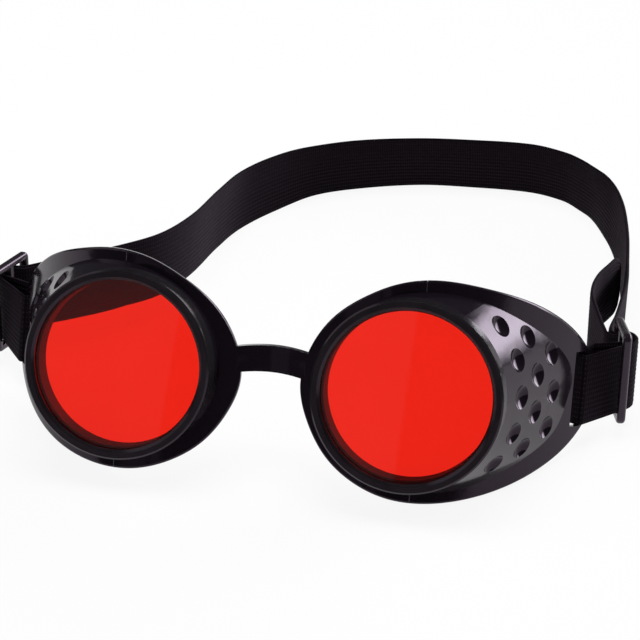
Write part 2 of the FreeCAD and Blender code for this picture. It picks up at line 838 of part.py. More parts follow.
doc.recompute()
for item in doc.Objects:
    if "Invalid" in item.State or "Error" in item.State:
        raise RuntimeError("%s did not build: %s" % (item.Label, item.State))
os.makedirs("parts", exist_ok=True)
for piece in pieces:
    shape = piece.Shape
    if shape.isNull() or not shape.isValid() or len(shape.Solids) != 1:
        raise RuntimeError("%s is not one sound solid" % piece.Label)
    print(piece.Label, round(shape.Volume, 1), shape.optimalBoundingBox())
    shape.exportStep(os.path.join("parts", piece.Label + ".step"))
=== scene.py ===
"""Cup goggles with red screw-on lenses and a ribbed elastic strap, on a white studio floor."""

import math
from types import SimpleNamespace

import bpy
from mathutils import Matrix, Vector
from mathutils.geometry import interpolate_bezier


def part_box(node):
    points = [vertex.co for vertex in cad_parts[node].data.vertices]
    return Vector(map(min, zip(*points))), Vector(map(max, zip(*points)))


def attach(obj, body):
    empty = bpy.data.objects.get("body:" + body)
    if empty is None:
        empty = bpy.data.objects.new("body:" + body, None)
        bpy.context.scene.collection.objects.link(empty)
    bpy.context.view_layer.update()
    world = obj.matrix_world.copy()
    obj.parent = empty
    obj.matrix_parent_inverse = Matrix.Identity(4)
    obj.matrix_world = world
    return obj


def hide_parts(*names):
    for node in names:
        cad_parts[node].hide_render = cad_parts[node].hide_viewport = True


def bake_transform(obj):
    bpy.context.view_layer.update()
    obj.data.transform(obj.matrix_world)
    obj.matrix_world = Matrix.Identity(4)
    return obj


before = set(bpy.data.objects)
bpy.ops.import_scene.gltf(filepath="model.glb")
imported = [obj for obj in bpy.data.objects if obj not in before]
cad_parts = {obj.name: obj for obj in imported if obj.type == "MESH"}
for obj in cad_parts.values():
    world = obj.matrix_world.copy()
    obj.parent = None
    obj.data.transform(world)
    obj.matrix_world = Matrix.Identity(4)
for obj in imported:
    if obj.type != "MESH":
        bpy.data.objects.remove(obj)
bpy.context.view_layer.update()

UP = Vector((0, 0, 1))
SIDES = {"left": 1, "right": -1}


# Strap sizes, in metres and radians

STRAP_WIDTH = 0.020
STRAP_THICKNESS = 0.0012
STRAP_GAP = 0.0004
STRAP_RIBS = 14
RIB_SAMPLES = 6
RIB_DEPTH = 0.00016
SELVAGE = 0.0006
SELVAGE_SHARES = [(0, 0.45), (0.4, 0.85)]
END_ROUND = 0.005
STRAP_REACH = 0.1975
TIP_LIFT = 0.0015
SLIDER_BAR = 0.0026
SLIDER_ROUND = 0.001
SLIDER_PITCH = 0.008
SLIDER_TOE_IN = math.radians(13.5)
SLIDER_LEANS = {1: math.radians(12), -1: math.radians(4)}
SLIDER_FROM_TIP = {1: Vector((0.0068, 0.0068, 0.002)), -1: Vector((-0.0068, 0.0068, 0.003))}
FRAME_LEAN = math.radians(21.7)
RIM_ROUND = 0.0006
SLOT_BACK_FROM_TIP = Vector((-0.0041633, -0.0059037, 0.0023493))
SLOT_FRONT_FROM_TIP = Vector((-0.0024553, -0.0068706, 0.0027341))
LENS_PLANE_TO_REAR_BAR = 0.0645854
ARC_STEP = math.radians(9)
RUN_STEP = 0.0005
FREE_STEP = 0.001
LEAST_STEPS = 3
HANDLE_DIVISOR = 3

# Free strap: shares of the rear bar's offset, of the way back, of the right slider's lift and of
# the frame's lean. BACK_SPLIT is the knot at which the visible strap is cut in two
STRAP_ROUTE = [
    (0.979, 0.084, 0.44, 0.97), (0.983, 0.175, 0.35, 1.01), (0.984, 0.273, 0.25, 1.06),
    (0.969, 0.393, 0.13, 1.1), (0.949, 0.521, 0.05, 1.1), (0.916, 0.657, 0, 1.1),
    (0.884, 0.74, 0, 1.06), (0.849, 0.8, 0, 0.78), (0.782, 0.879, 0, -0.09),
    (0.718, 0.929, 0, -0.23), (0.647, 0.969, 0, -0.37), (0.514, 1, 0, -0.39),
    (0.281, 0.996, 0, -0.46), (0.086, 0.98, 0, -0.51), (-0.133, 0.93, 0, -0.39),
    (-0.292, 0.867, 0, -0.32), (-0.395, 0.788, 0, 0.23), (-0.499, 0.668, 0.03, 0.78),
    (-0.534, 0.521, 0.38, 1.1), (-0.552, 0.31, 1, 1.1), (-0.613, 0.19, 1.1, 0.88),
    (-0.733, 0.107, 1.08, 0.6), (-0.859, 0.05, 1.02, 0.37),
]
BACK_SPLIT = 13
LEFT_TAIL = [
    (0.948, 0.385, 0.49, 0), (0.922, 0.324, 0.56, 0), (0.899, 0.272, 0.64, -0.05),
    (0.889, 0.226, 0.71, -0.05), (0.887, 0.189, 0.77, 0), (0.891, 0.143, 0.83, 0.25),
    (0.904, 0.098, 0.88, 0.5),
]
RIGHT_TAIL = [
    (-0.843, 0.045, 0.95, 0.15), (-0.749, 0.1, 0.9, 0.1), (-0.667, 0.165, 0.85, 0.1),
]


# Strap path

def slider_middle(side):
    low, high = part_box("left_slider" if side > 0 else "right_slider")
    return (Vector(low) + Vector(high)) / 2


def slider_along(side):
    """Direction from a slider's middle bar to its rear bar."""
    flat = Vector((-side * math.sin(SLIDER_TOE_IN), math.cos(SLIDER_TOE_IN), 0))
    return Matrix.Rotation(-SLIDER_LEANS[side], 3, "X") @ flat


def rear_bar(side):
    return slider_middle(side) + slider_along(side) * SLIDER_PITCH


def temple_tip(side):
    return slider_middle(side) - SLIDER_FROM_TIP[side]


def bend(centre, radius, lean):
    """One bend about an upright line, positive where the strap turns to the left."""
    return SimpleNamespace(centre=centre, radius=radius, lean=lean)


def station(middle, heading, lean):
    return SimpleNamespace(middle=middle, heading=heading, lean=lean)


def loop_bends(side):
    """Bends from the tail through the slider, round the rim's slot and back out."""
    half = SLIDER_BAR / 2
    bar_reach = (half - SLIDER_ROUND) * math.sqrt(2) + SLIDER_ROUND
    inner = bar_reach + STRAP_GAP + STRAP_THICKNESS / 2
    outer = inner + STRAP_THICKNESS + STRAP_GAP
    edge = STRAP_GAP + STRAP_THICKNESS / 2
    middle, rear, tip = slider_middle(side), rear_bar(side), temple_tip(side)
    lean = SLIDER_LEANS[side]
    mirror = Vector((side, 1, 1))
    leaned_up = Vector((0, math.sin(FRAME_LEAN), math.cos(FRAME_LEAN)))
    return [
        bend(rear, outer, lean),
        bend(middle, -inner, lean),
        bend(tip + leaned_up * TIP_LIFT, RIM_ROUND + edge, FRAME_LEAN),
        bend(tip + SLOT_BACK_FROM_TIP * mirror, edge, FRAME_LEAN),
        bend(tip + SLOT_FRONT_FROM_TIP * mirror, edge, FRAME_LEAN),
        bend(middle, outer, lean),
        bend(rear, -inner, lean),
    ]


def heading_between(first, second):
    across = second.centre - first.centre
    reach = math.hypot(across.x, across.y)
    return math.atan2(across.y, across.x) - math.asin((second.radius - first.radius) / reach)


def bend_arcs(before, bends, after):
    """Stations round each bend, with one in the middle of every arc."""
    ends = [bend(before, 0, 0), *bends, bend(after, 0, 0)]
    headings = [heading_between(*pair) for pair in zip(ends[:-1], ends[1:])]
    arcs = []
    for item, arrive, leave in zip(bends, headings[:-1], headings[1:]):
        hand = math.copysign(1, item.radius)
        turn = hand * ((leave - arrive) * hand % math.tau)
        steps = 2 * max(1, math.ceil(abs(turn) / ARC_STEP / 2))
        arc = []
        for step in range(steps + 1):
            heading = arrive + turn * step / steps
            left = Vector((-math.sin(heading), math.cos(heading), 0))
            arc.append(station(item.centre - left * item.radius, heading, item.lean))
        arcs.append(arc)
    return arcs


def joined(arcs):
    """Arcs in a row, with the straight runs between them divided evenly."""
    stations = list(arcs[0])
    for arc in arcs[1:]:
        start, finish = stations[-1], arc[0]
        steps = max(1, math.ceil((finish.middle - start.middle).length / RUN_STEP))
        for step in range(1, steps):
            share = step / steps
            stations.append(station(
                start.middle.lerp(finish.middle, share),
                finish.heading,
                start.lean + share * (finish.lean - start.lean),
            ))
        stations += arc
    return stations


def standing(lean):
    """Height of the strap's middle where its lower edge is on the floor."""
    return (STRAP_WIDTH * math.cos(lean) + STRAP_THICKNESS * math.sin(abs(lean))) / 2


def free_points(shares):
    """Stations of the free strap without headings, on the floor or rising towards the sliders."""
    bar = rear_bar(1)
    full_lift = rear_bar(-1).z - standing(SLIDER_LEANS[-1])
    way_back = STRAP_REACH - LENS_PLANE_TO_REAR_BAR
    points = []
    for across, back, rise, lean_share in shares:
        lean = lean_share * FRAME_LEAN
        height = standing(lean) + rise * full_lift
        middle = Vector((across * bar.x, bar.y + back * way_back, height))
        points.append(station(middle, None, lean))
    return points


def heading_vector(heading):
    return Vector((math.cos(heading), math.sin(heading), 0))


def free_run(points, arrive=None, leave=None):
    """Stations along a smooth run through points, and the station number of each knot."""
    path = [item for item in (arrive, *points, leave) if item]
    knots = [Vector((p.middle.x, p.middle.y, p.middle.z - standing(p.lean))) for p in path]
    leans = [Vector((p.lean, 0, 0)) for p in path]
    first = heading_vector(arrive.heading) if arrive else (knots[1] - knots[0]).normalized()
    last = heading_vector(leave.heading) if leave else (knots[-1] - knots[-2]).normalized()
    slopes = [first, *((b - a).normalized() for a, b in zip(knots[:-2], knots[2:])), last]
    still = Vector((0, 0, 0))
    inner_twists = ((b - a) / (2 * HANDLE_DIVISOR) for a, b in zip(leans[:-2], leans[2:]))
    twists = [still, *inner_twists, still]
    places, turns, marks = [knots[0]], [leans[0]], [0]
    for index in range(len(path) - 1):
        start, finish = knots[index], knots[index + 1]
        chord = (finish - start).length
        count = max(LEAST_STEPS, math.ceil(chord / FREE_STEP)) + 1
        places += interpolate_bezier(
            start, start + slopes[index] * chord / HANDLE_DIVISOR,
            finish - slopes[index + 1] * chord / HANDLE_DIVISOR, finish, count)[1:]
        turns += interpolate_bezier(
            leans[index], leans[index] + twists[index],
            leans[index + 1] - twists[index + 1], leans[index + 1], count)[1:]
        marks.append(len(places) - 1)
    stations = []
    for index, (place, turn) in enumerate(zip(places, turns)):
        along = places[min(index + 1, len(places) - 1)] - places[max(index - 1, 0)]
        middle = Vector((place.x, place.y, standing(turn.x) + max(place.z, 0)))
        stations.append(station(middle, math.atan2(along.y, along.x), turn.x))
    if arrive:
        stations[0] = arrive
    if leave:
        stations[-1] = leave
    return stations, marks


# Strap mesh

def rib_outline():
    """Half thickness across the strap's width, from one selvage to the other."""
    crest = STRAP_THICKNESS / 2
    ribbed = STRAP_WIDTH - 2 * SELVAGE
    selvage = [(-STRAP_WIDTH / 2 + SELVAGE * inward, crest * rise)
               for inward, rise in SELVAGE_SHARES]
    outline = list(selvage)
    steps = STRAP_RIBS * RIB_SAMPLES
    for step in range(steps + 1):
        share = step / steps
        swell = abs(math.sin(math.pi * STRAP_RIBS * share))
        outline.append((ribbed * (share - 0.5), crest - RIB_DEPTH * (1 - swell)))
    outline += [(-across, half) for across, half in reversed(selvage)]
    return outline


def end_share(distance):
    """Share of the strap's width that is left at a distance from a rounded end."""
    if distance >= END_ROUND:
        return 1
    lost = END_ROUND - math.sqrt(END_ROUND ** 2 - (END_ROUND - distance) ** 2)
    return 1 - lost / (STRAP_WIDTH / 2)


def strap_mesh(name, stations):
    """One length of strap as a closed mesh, with its width and length as UVs."""
    outline = rib_outline()
    ring = outline + [(across, -half) for across, half in reversed(outline)]
    size = len(ring)
    lengths = [0]
    for before, place in zip(stations[:-1], stations[1:]):
        lengths.append(lengths[-1] + (place.middle - before.middle).length)
    run = lengths[-1]
    points = []
    for place, length in zip(stations, lengths):
        from_end = {"strap_left_tail": length, "strap_right_tail": run - length}.get(name, run)
        height = Vector((0, math.sin(place.lean), math.cos(place.lean)))
        thick = heading_vector(place.heading).cross(height).normalized()
        height = height * end_share(from_end)
        points += [place.middle + height * across + thick * half for across, half in ring]
    faces = []
    for row in range(len(stations) - 1):
        for column in range(size):
            here, there = row * size + column, row * size + (column + 1) % size
            faces.append((here, there, there + size, here + size))
    faces += [tuple(range(size))[::-1], tuple(range(len(points) - size, len(points)))]
    mesh = bpy.data.meshes.new(name)
    mesh.from_pydata(points, [], faces)
    flat = mesh.uv_layers.new(name="flat_cut")
    for corner in mesh.loops:
        row, column = divmod(corner.vertex_index, size)
        across = ring[column][0]
        flat.data[corner.index].uv = (across / STRAP_WIDTH + 0.5, lengths[row] / STRAP_WIDTH)
    mesh.polygons.foreach_set("use_smooth", [len(face.vertices) == 4 for face in mesh.polygons])
    ends = {key for face in mesh.polygons if len(face.vertices) > 4 for key in face.edge_keys}
    for edge in mesh.edges:
        edge.use_edge_sharp = edge.key in ends
    mesh.validate()
    piece = bpy.data.objects.new(name, mesh)
    bpy.context.scene.collection.objects.link(piece)
    return piece, run


def halves(arc):
    """The two halves of an arc, both with its middle station."""
    middle = len(arc) // 2
    return arc[:middle + 1], arc[middle:]


def strap_lengths():
    """Stations of the strap's six lengths, split over the sliders' middle bars and at the back."""
    left_tail, route, right_tail = (free_points(s) for s in (LEFT_TAIL, STRAP_ROUTE, RIGHT_TAIL))
    left_rear, left_in, *left_rim, left_out, left_last = bend_arcs(
        left_tail[-1].middle, loop_bends(1), route[0].middle)
    right_rear, right_in, *right_rim, right_out, right_last = bend_arcs(
        route[-1].middle, loop_bends(-1)[::-1], right_tail[0].middle)
    left_in, left_out, right_in, right_out = map(halves, (left_in, left_out, right_in, right_out))
    left_free = free_run(left_tail, leave=left_rear[0])[0]
    right_free = free_run(right_tail, arrive=right_last[-1])[0]
    back, marks = free_run(route, arrive=left_last[-1], leave=right_rear[0])
    split = marks[BACK_SPLIT]
    return {
        "strap_left_tail": left_free[:-1] + joined([left_rear, left_in[0]]),
        "strap_left_loop": joined([left_in[1], *left_rim, left_out[0]]),
        "strap_left_back": joined([left_out[1], left_last])[:-1] + back[:split + 1],
        "strap_right_back": back[split:-1] + joined([right_rear, right_in[0]]),
        "strap_right_loop": joined([right_in[1], *right_rim, right_out[0]]),
        "strap_right_tail": joined([right_out[1], right_last])[:-1] + right_free,
    }


strap_pieces = {}
for name, stations in strap_lengths().items():
    piece, run = strap_mesh(name, stations)
    strap_pieces[name] = piece
    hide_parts("elastic_strap")
    side = "left" if "left" in name else "right"

for name, side in SIDES.items():
    slider, bar = name + "_slider", rear_bar(side)
    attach(strap_pieces["strap_%s_tail" % name], slider)
    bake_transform(strap_pieces["strap_%s_loop" % name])
    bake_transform(strap_pieces["strap_%s_back" % name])


# Shader helpers

def new_material(name):
    material = bpy.data.materials.new(name)
    material.use_nodes = True
    nodes = material.node_tree.nodes
    nodes.clear()
    output = nodes.new("ShaderNodeOutputMaterial")
    shader = nodes.new("ShaderNodeBsdfPrincipled")
    material.node_tree.links.new(shader.outputs["BSDF"], output.inputs["Surface"])
    return material, shader


def new_node(tree, kind, **settings):
    node = tree.nodes.new(kind)
    for key, value in settings.items():
        setattr(node, key, value)
    return node


def set_inputs(node, values):
    for key, value in values.items():
        node.inputs[key].default_value = value


def new_group(name, inputs, outputs):
    """An empty shader node group with named sockets."""
    group = bpy.data.node_groups.new(name, "ShaderNodeTree")
    for direction, sockets in (("INPUT", inputs), ("OUTPUT", outputs)):
        for label, kind, default in sockets:
            socket = group.interface.new_socket(
                label, in_out=direction, socket_type="NodeSocket" + kind)
            if default is not None:
                socket.default_value = default
    return group, group.nodes.new("NodeGroupInput"), group.nodes.new("NodeGroupOutput")


def place_group(material, group, values):
    node = material.node_tree.nodes.new("ShaderNodeGroup")
    node.node_tree = group
    set_inputs(node, values)
    return node


GRAIN_DISTANCE = 0.0001


def grain_bump(material, shader, height, strength):
    """A Bump node between a height and the shader's normal."""
    bump = material.node_tree.nodes.new("ShaderNodeBump")
    set_inputs(bump, {"Strength": strength, "Distance": GRAIN_DISTANCE})
    material.node_tree.links.new(height, bump.inputs["Height"])
    material.node_tree.links.new(bump.outputs["Normal"], shader.inputs["Normal"])


# Moulded plastic skin

def moulded_skin_group():
    """Clouding of the colour, polish that comes and goes, and the fine texture of a mould."""
    group, given, out = new_group("moulded_skin", [
        ("Colour", "Color", (0.02, 0.02, 0.02, 1)),
        # The lighter edge colour below is partly wear and partly a painted highlight along edges
        ("Wear And Highlight Colour", "Color", (0.05, 0.05, 0.05, 1)),
        ("Cloud Scale", "Float", 60.0),
        ("Grain Scale", "Float", 2500.0),
        ("Smoothest", "Float", 0.2),
        ("Roughest", "Float", 0.3),
        ("Edge Wear And Highlight", "Float", 0.5),
    ], [("Colour", "Color", None), ("Roughness", "Float", None), ("Height", "Float", None)])
    links = group.links
    place = group.nodes.new("ShaderNodeTexCoord")
    cloud = group.nodes.new("ShaderNodeTexNoise")
    grain = group.nodes.new("ShaderNodeTexNoise")
    set_inputs(cloud, {"Detail": 4.0, "Roughness": 0.6})
    set_inputs(grain, {"Detail": 2.0, "Roughness": 0.5})
    for texture, label in ((cloud, "Cloud Scale"), (grain, "Grain Scale")):
        links.new(place.outputs["Object"], texture.inputs["Vector"])
        links.new(given.outputs[label], texture.inputs["Scale"])
    # Lighter colour where the surface is pointy. This is partly edge wear and partly a painted
    # highlight, which stands in for the bright lines that light draws along rounded edges.
    form = group.nodes.new("ShaderNodeNewGeometry")
    edge = new_node(group, "ShaderNodeMapRange", clamp=True)
    set_inputs(edge, {"From Min": 0.52, "From Max": 0.62})
    links.new(form.outputs["Pointiness"], edge.inputs["Value"])
    wear_and_highlight = new_node(group, "ShaderNodeMath", operation="MULTIPLY")
    links.new(edge.outputs["Result"], wear_and_highlight.inputs[0])
    links.new(given.outputs["Edge Wear And Highlight"], wear_and_highlight.inputs[1])
    patch = new_node(group, "ShaderNodeMath", operation="MULTIPLY")
    links.new(wear_and_highlight.outputs["Value"], patch.inputs[0])
    links.new(cloud.outputs["Fac"], patch.inputs[1])
    colour = new_node(group, "ShaderNodeMix", data_type="RGBA")
    links.new(patch.outputs["Value"], colour.inputs["Factor"])
    links.new(given.outputs["Colour"], colour.inputs["A"])
    links.new(given.outputs["Wear And Highlight Colour"], colour.inputs["B"])
    polish = group.nodes.new("ShaderNodeMapRange")
    set_inputs(polish, {"From Min": 0.3, "From Max": 0.7})
    links.new(cloud.outputs["Fac"], polish.inputs["Value"])
    links.new(given.outputs["Smoothest"], polish.inputs["To Min"])
    links.new(given.outputs["Roughest"], polish.inputs["To Max"])
    links.new(colour.outputs["Result"], out.inputs["Colour"])
    links.new(polish.outputs["Result"], out.inputs["Roughness"])
    links.new(grain.outputs["Fac"], out.inputs["Height"])
    return group


moulded_skin = moulded_skin_group()

LILAC_SHINE = (1, 0.76, 1, 1)
RING_AXIS = (0, -0.92913, 0.36975)
RING_OFFSET = 0.0407
RING_FRONT = (0, -0.0952451, 0.0340281)
BORE_EDGE = (0.0233, 0.0236)
BORE_ROUGHNESS = 0.6
PARTING_OFFSET = 0.0424
PARTING_HALF_WIDTH = 0.0002
PARTING_HEIGHT = 3.0
FRAME_GRAIN = 0.2


def moulded_plastic(name, values, specular):
    """A moulded skin on a shader, with the skin's height left for a bump."""
    material, shader = new_material(name)
    skin = place_group(material, moulded_skin, values)
    links = material.node_tree.links
    links.new(skin.outputs["Colour"], shader.inputs["Base Color"])
    links.new(skin.outputs["Roughness"], shader.inputs["Roughness"])
    set_inputs(shader, {"Specular IOR Level": specular, "Specular Tint": LILAC_SHINE})
    return material, shader, skin


def dull_in_bores(tree, apart, across, polish):
    """A roughness that is dull in the necks' bores and polished everywhere else."""
    aside = new_node(tree, "ShaderNodeMath", operation="SUBTRACT")
    tree.links.new(across.outputs["Value"], aside.inputs[0])
    aside.inputs[1].default_value = RING_OFFSET
    folded = tree.nodes.new("ShaderNodeCombineXYZ")
    tree.links.new(aside.outputs["Value"], folded.inputs["X"])
    for label in "YZ":
        tree.links.new(apart.outputs[label], folded.inputs[label])
    from_ring = new_node(tree, "ShaderNodeVectorMath", operation="SUBTRACT")
    tree.links.new(folded.outputs["Vector"], from_ring.inputs[0])
    from_ring.inputs[1].default_value = RING_FRONT
    on_axis = new_node(tree, "ShaderNodeVectorMath", operation="PROJECT")
    tree.links.new(from_ring.outputs["Vector"], on_axis.inputs[0])
    on_axis.inputs[1].default_value = RING_AXIS
    radius = new_node(tree, "ShaderNodeVectorMath", operation="DISTANCE")
    tree.links.new(from_ring.outputs["Vector"], radius.inputs[0])
    tree.links.new(on_axis.outputs["Vector"], radius.inputs[1])
    outside = new_node(tree, "ShaderNodeMapRange", interpolation_type="SMOOTHSTEP")
    set_inputs(outside, {
        "From Min": BORE_EDGE[0], "From Max": BORE_EDGE[1], "To Min": BORE_ROUGHNESS})
    tree.links.new(radius.outputs["Value"], outside.inputs["Value"])
    tree.links.new(polish, outside.inputs["To Max"])
    return outside.outputs["Result"]


def gloss_frame_plastic():
    """Glossy black with a dull bore and the fine line where the halves of its mould met."""
    material, shader, skin = moulded_plastic("gloss_frame_plastic", {
        "Colour": (0.0075, 0.0052, 0.0085, 1),
        # Edge colour: partly wear and partly a painted highlight along the edges
        "Wear And Highlight Colour": (0.03, 0.024, 0.034, 1),
        "Cloud Scale": 70.0,
        "Grain Scale": 420.0,
        "Smoothest": 0.08,
        "Roughest": 0.14,
        "Edge Wear And Highlight": 0.5,
    }, specular=0.31)
    tree = material.node_tree
    place = tree.nodes.new("ShaderNodeTexCoord")
    apart = tree.nodes.new("ShaderNodeSeparateXYZ")
    tree.links.new(place.outputs["Object"], apart.inputs["Vector"])
    across = new_node(tree, "ShaderNodeMath", operation="ABSOLUTE")
    tree.links.new(apart.outputs["X"], across.inputs[0])
    near = new_node(tree, "ShaderNodeMath", operation="SUBTRACT")
    tree.links.new(across.outputs["Value"], near.inputs[0])
    near.inputs[1].default_value = PARTING_OFFSET
    distance = new_node(tree, "ShaderNodeMath", operation="ABSOLUTE")
    tree.links.new(near.outputs["Value"], distance.inputs[0])
    line = new_node(tree, "ShaderNodeMapRange", interpolation_type="SMOOTHSTEP")
    set_inputs(line, {"From Min": 0.0, "From Max": PARTING_HALF_WIDTH,
                      "To Min": PARTING_HEIGHT, "To Max": 0.0})
    tree.links.new(distance.outputs["Value"], line.inputs["Value"])
    height = new_node(tree, "ShaderNodeMath", operation="MULTIPLY_ADD")
    tree.links.new(skin.outputs["Height"], height.inputs[0])
    height.inputs[1].default_value = FRAME_GRAIN
    tree.links.new(line.outputs["Result"], height.inputs[2])
    grain_bump(material, shader, height.outputs["Value"], strength=0.6)
    roughness = dull_in_bores(tree, apart, across, skin.outputs["Roughness"])
    tree.links.new(roughness, shader.inputs["Roughness"])
    return material


def satin_ring_plastic():
    """Satin on the ring's front face and polished round its side."""
    material, shader, skin = moulded_plastic("satin_ring_plastic", {
        "Colour": (0.0045, 0.0036, 0.0048, 1),
        # Edge colour: partly wear and partly a painted highlight along the edges
        "Wear And Highlight Colour": (0.035, 0.032, 0.036, 1),
        "Cloud Scale": 110.0,
        "Grain Scale": 3200.0,
        "Smoothest": 0.30,
        "Roughest": 0.40,
        "Edge Wear And Highlight": 0.7,
    }, specular=0.28)
    tree = material.node_tree
    place = tree.nodes.new("ShaderNodeTexCoord")
    facing = new_node(tree, "ShaderNodeVectorMath", operation="DOT_PRODUCT")
    facing.inputs[1].default_value = RING_AXIS
    tree.links.new(place.outputs["Normal"], facing.inputs[0])
    face = new_node(tree, "ShaderNodeMapRange", interpolation_type="SMOOTHSTEP")
    set_inputs(face, {"From Min": 0.5, "From Max": 0.95, "To Min": 0.25, "To Max": 1.0})
    tree.links.new(facing.outputs["Value"], face.inputs["Value"])
    polish = new_node(tree, "ShaderNodeMath", operation="MULTIPLY")
    tree.links.new(skin.outputs["Roughness"], polish.inputs[0])
    tree.links.new(face.outputs["Result"], polish.inputs[1])
    tree.links.new(polish.outputs["Value"], shader.inputs["Roughness"])
    grain_bump(material, shader, skin.outputs["Height"], strength=0.08)
    return material


def satin_slider_plastic():
    """Satin black with edges a little lighter, partly where the strap has rubbed and partly as a
    painted highlight.
    """
    material, shader, skin = moulded_plastic("satin_slider_plastic", {
        "Colour": (0.011, 0.0085, 0.0115, 1),
        # Edge colour: partly wear and partly a painted highlight along the edges
        "Wear And Highlight Colour": (0.05, 0.042, 0.052, 1),
        "Cloud Scale": 160.0,
        "Grain Scale": 3800.0,
        "Smoothest": 0.2,
        "Roughest": 0.3,
        "Edge Wear And Highlight": 0.7,
    }, specular=0.5)
    grain_bump(material, shader, skin.outputs["Height"], strength=0.12)
    return material


def red_lens_tint():
    """Clear red acrylic, a little deeper in places."""
    material, shader = new_material("red_lens_tint")
    tree = material.node_tree
    place = tree.nodes.new("ShaderNodeTexCoord")
    cloud = tree.nodes.new("ShaderNodeTexNoise")
    set_inputs(cloud, {"Scale": 45.0, "Detail": 2.0})
    tree.links.new(place.outputs["Object"], cloud.inputs["Vector"])
    tint = new_node(tree, "ShaderNodeMix", data_type="RGBA")
    set_inputs(tint, {"A": (0.98, 0.021, 0.0085, 1), "B": (0.93, 0.016, 0.006, 1)})
    tree.links.new(cloud.outputs["Fac"], tint.inputs["Factor"])
    tree.links.new(tint.outputs["Result"], shader.inputs["Base Color"])
    set_inputs(shader, {"Roughness": 0.02, "IOR": 1.49, "Transmission Weight": 0.96})
    return material


# A wave texture's scale for one band in each unit of its coordinate
WAVE_PER_BAND = math.pi / 10


def black_elastic():
    """Knitted elastic: ribs from the mesh, with yarn across them and pale stitches on top."""
    material, shader = new_material("black_elastic")
    tree = material.node_tree
    links = tree.links
    cut = new_node(tree, "ShaderNodeUVMap", uv_map="flat_cut")
    yarn = new_node(tree, "ShaderNodeTexWave", wave_type="BANDS", bands_direction="Y")
    set_inputs(yarn, {"Scale": 8.0, "Distortion": 1.2, "Detail": 2.0, "Detail Scale": 3.0})
    links.new(cut.outputs["UV"], yarn.inputs["Vector"])
    place = tree.nodes.new("ShaderNodeTexCoord")
    fuzz = tree.nodes.new("ShaderNodeTexNoise")
    set_inputs(fuzz, {"Scale": 900.0, "Detail": 3.0})
    links.new(place.outputs["Object"], fuzz.inputs["Vector"])
    cloth = new_node(tree, "ShaderNodeMath", operation="MULTIPLY")
    links.new(yarn.outputs["Fac"], cloth.inputs[0])
    links.new(fuzz.outputs["Fac"], cloth.inputs[1])
    colour = tree.nodes.new("ShaderNodeValToRGB")
    colour.color_ramp.elements[0].color = (0.0028, 0.0019, 0.0031, 1)
    colour.color_ramp.elements[1].color = (0.0105, 0.0075, 0.011, 1)
    links.new(cloth.outputs["Value"], colour.inputs["Fac"])
    rib = new_node(tree, "ShaderNodeTexWave", wave_type="BANDS", bands_direction="X")
    set_inputs(rib, {"Scale": STRAP_RIBS * WAVE_PER_BAND, "Distortion": 0.3, "Detail Scale": 2.0})
    links.new(cut.outputs["UV"], rib.inputs["Vector"])
    crossing = new_node(tree, "ShaderNodeMath", operation="MULTIPLY")
    links.new(rib.outputs["Fac"], crossing.inputs[0])
    links.new(yarn.outputs["Fac"], crossing.inputs[1])
    stitch = new_node(tree, "ShaderNodeMapRange", interpolation_type="SMOOTHSTEP")
    set_inputs(stitch, {"From Min": 0.7, "From Max": 1.0, "To Min": 0.0, "To Max": 0.6})
    links.new(crossing.outputs["Value"], stitch.inputs["Value"])
    stitched = new_node(tree, "ShaderNodeMix", data_type="RGBA")
    links.new(stitch.outputs["Result"], stitched.inputs["Factor"])
    links.new(colour.outputs["Color"], stitched.inputs["A"])
    stitched.inputs["B"].default_value = (0.05, 0.038, 0.05, 1)
    links.new(stitched.outputs["Result"], shader.inputs["Base Color"])
    rough = tree.nodes.new("ShaderNodeMapRange")
    set_inputs(rough, {"To Min": 0.75, "To Max": 0.95})
    links.new(fuzz.outputs["Fac"], rough.inputs["Value"])
    links.new(rough.outputs["Result"], shader.inputs["Roughness"])
    set_inputs(shader, {
        "Specular IOR Level": 0.12, "Specular Tint": LILAC_SHINE,
        "Sheen Weight": 0.02, "Sheen Roughness": 0.5, "Sheen Tint": LILAC_SHINE})
    grain_bump(material, shader, cloth.outputs["Value"], strength=0.4)
    return material


finishes = {
    "frame": gloss_frame_plastic(),
    "bezel": satin_ring_plastic(),
    "lens": red_lens_tint(),
    "slider": satin_slider_plastic(),
}
for node_name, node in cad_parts.items():
    for kind, material in finishes.items():
        if node_name.endswith(kind):
            node.data.materials.clear()
            node.data.materials.append(material)
elastic = black_elastic()
for piece in strap_pieces.values():
    piece.data.materials.append(elastic)


# Floor and light

def white_for_view(tree, level):
    """A level where the camera, a reflection or a view through a lens meets it, and 0 elsewhere."""
    path = tree.nodes.new("ShaderNodeLightPath")
    seen = None
    for label in ("Is Camera Ray", "Is Glossy Ray", "Is Transmission Ray"):
        if seen is None:
            seen = path.outputs[label]
            continue
        either = new_node(tree, "ShaderNodeMath", operation="MAXIMUM")
        tree.links.new(seen, either.inputs[0])
        tree.links.new(path.outputs[label], either.inputs[1])
        seen = either.outputs["Value"]
    share = new_node(tree, "ShaderNodeMath", operation="MULTIPLY")
    tree.links.new(seen, share.inputs[0])
    share.inputs[1].default_value = level
    return share.outputs["Value"]


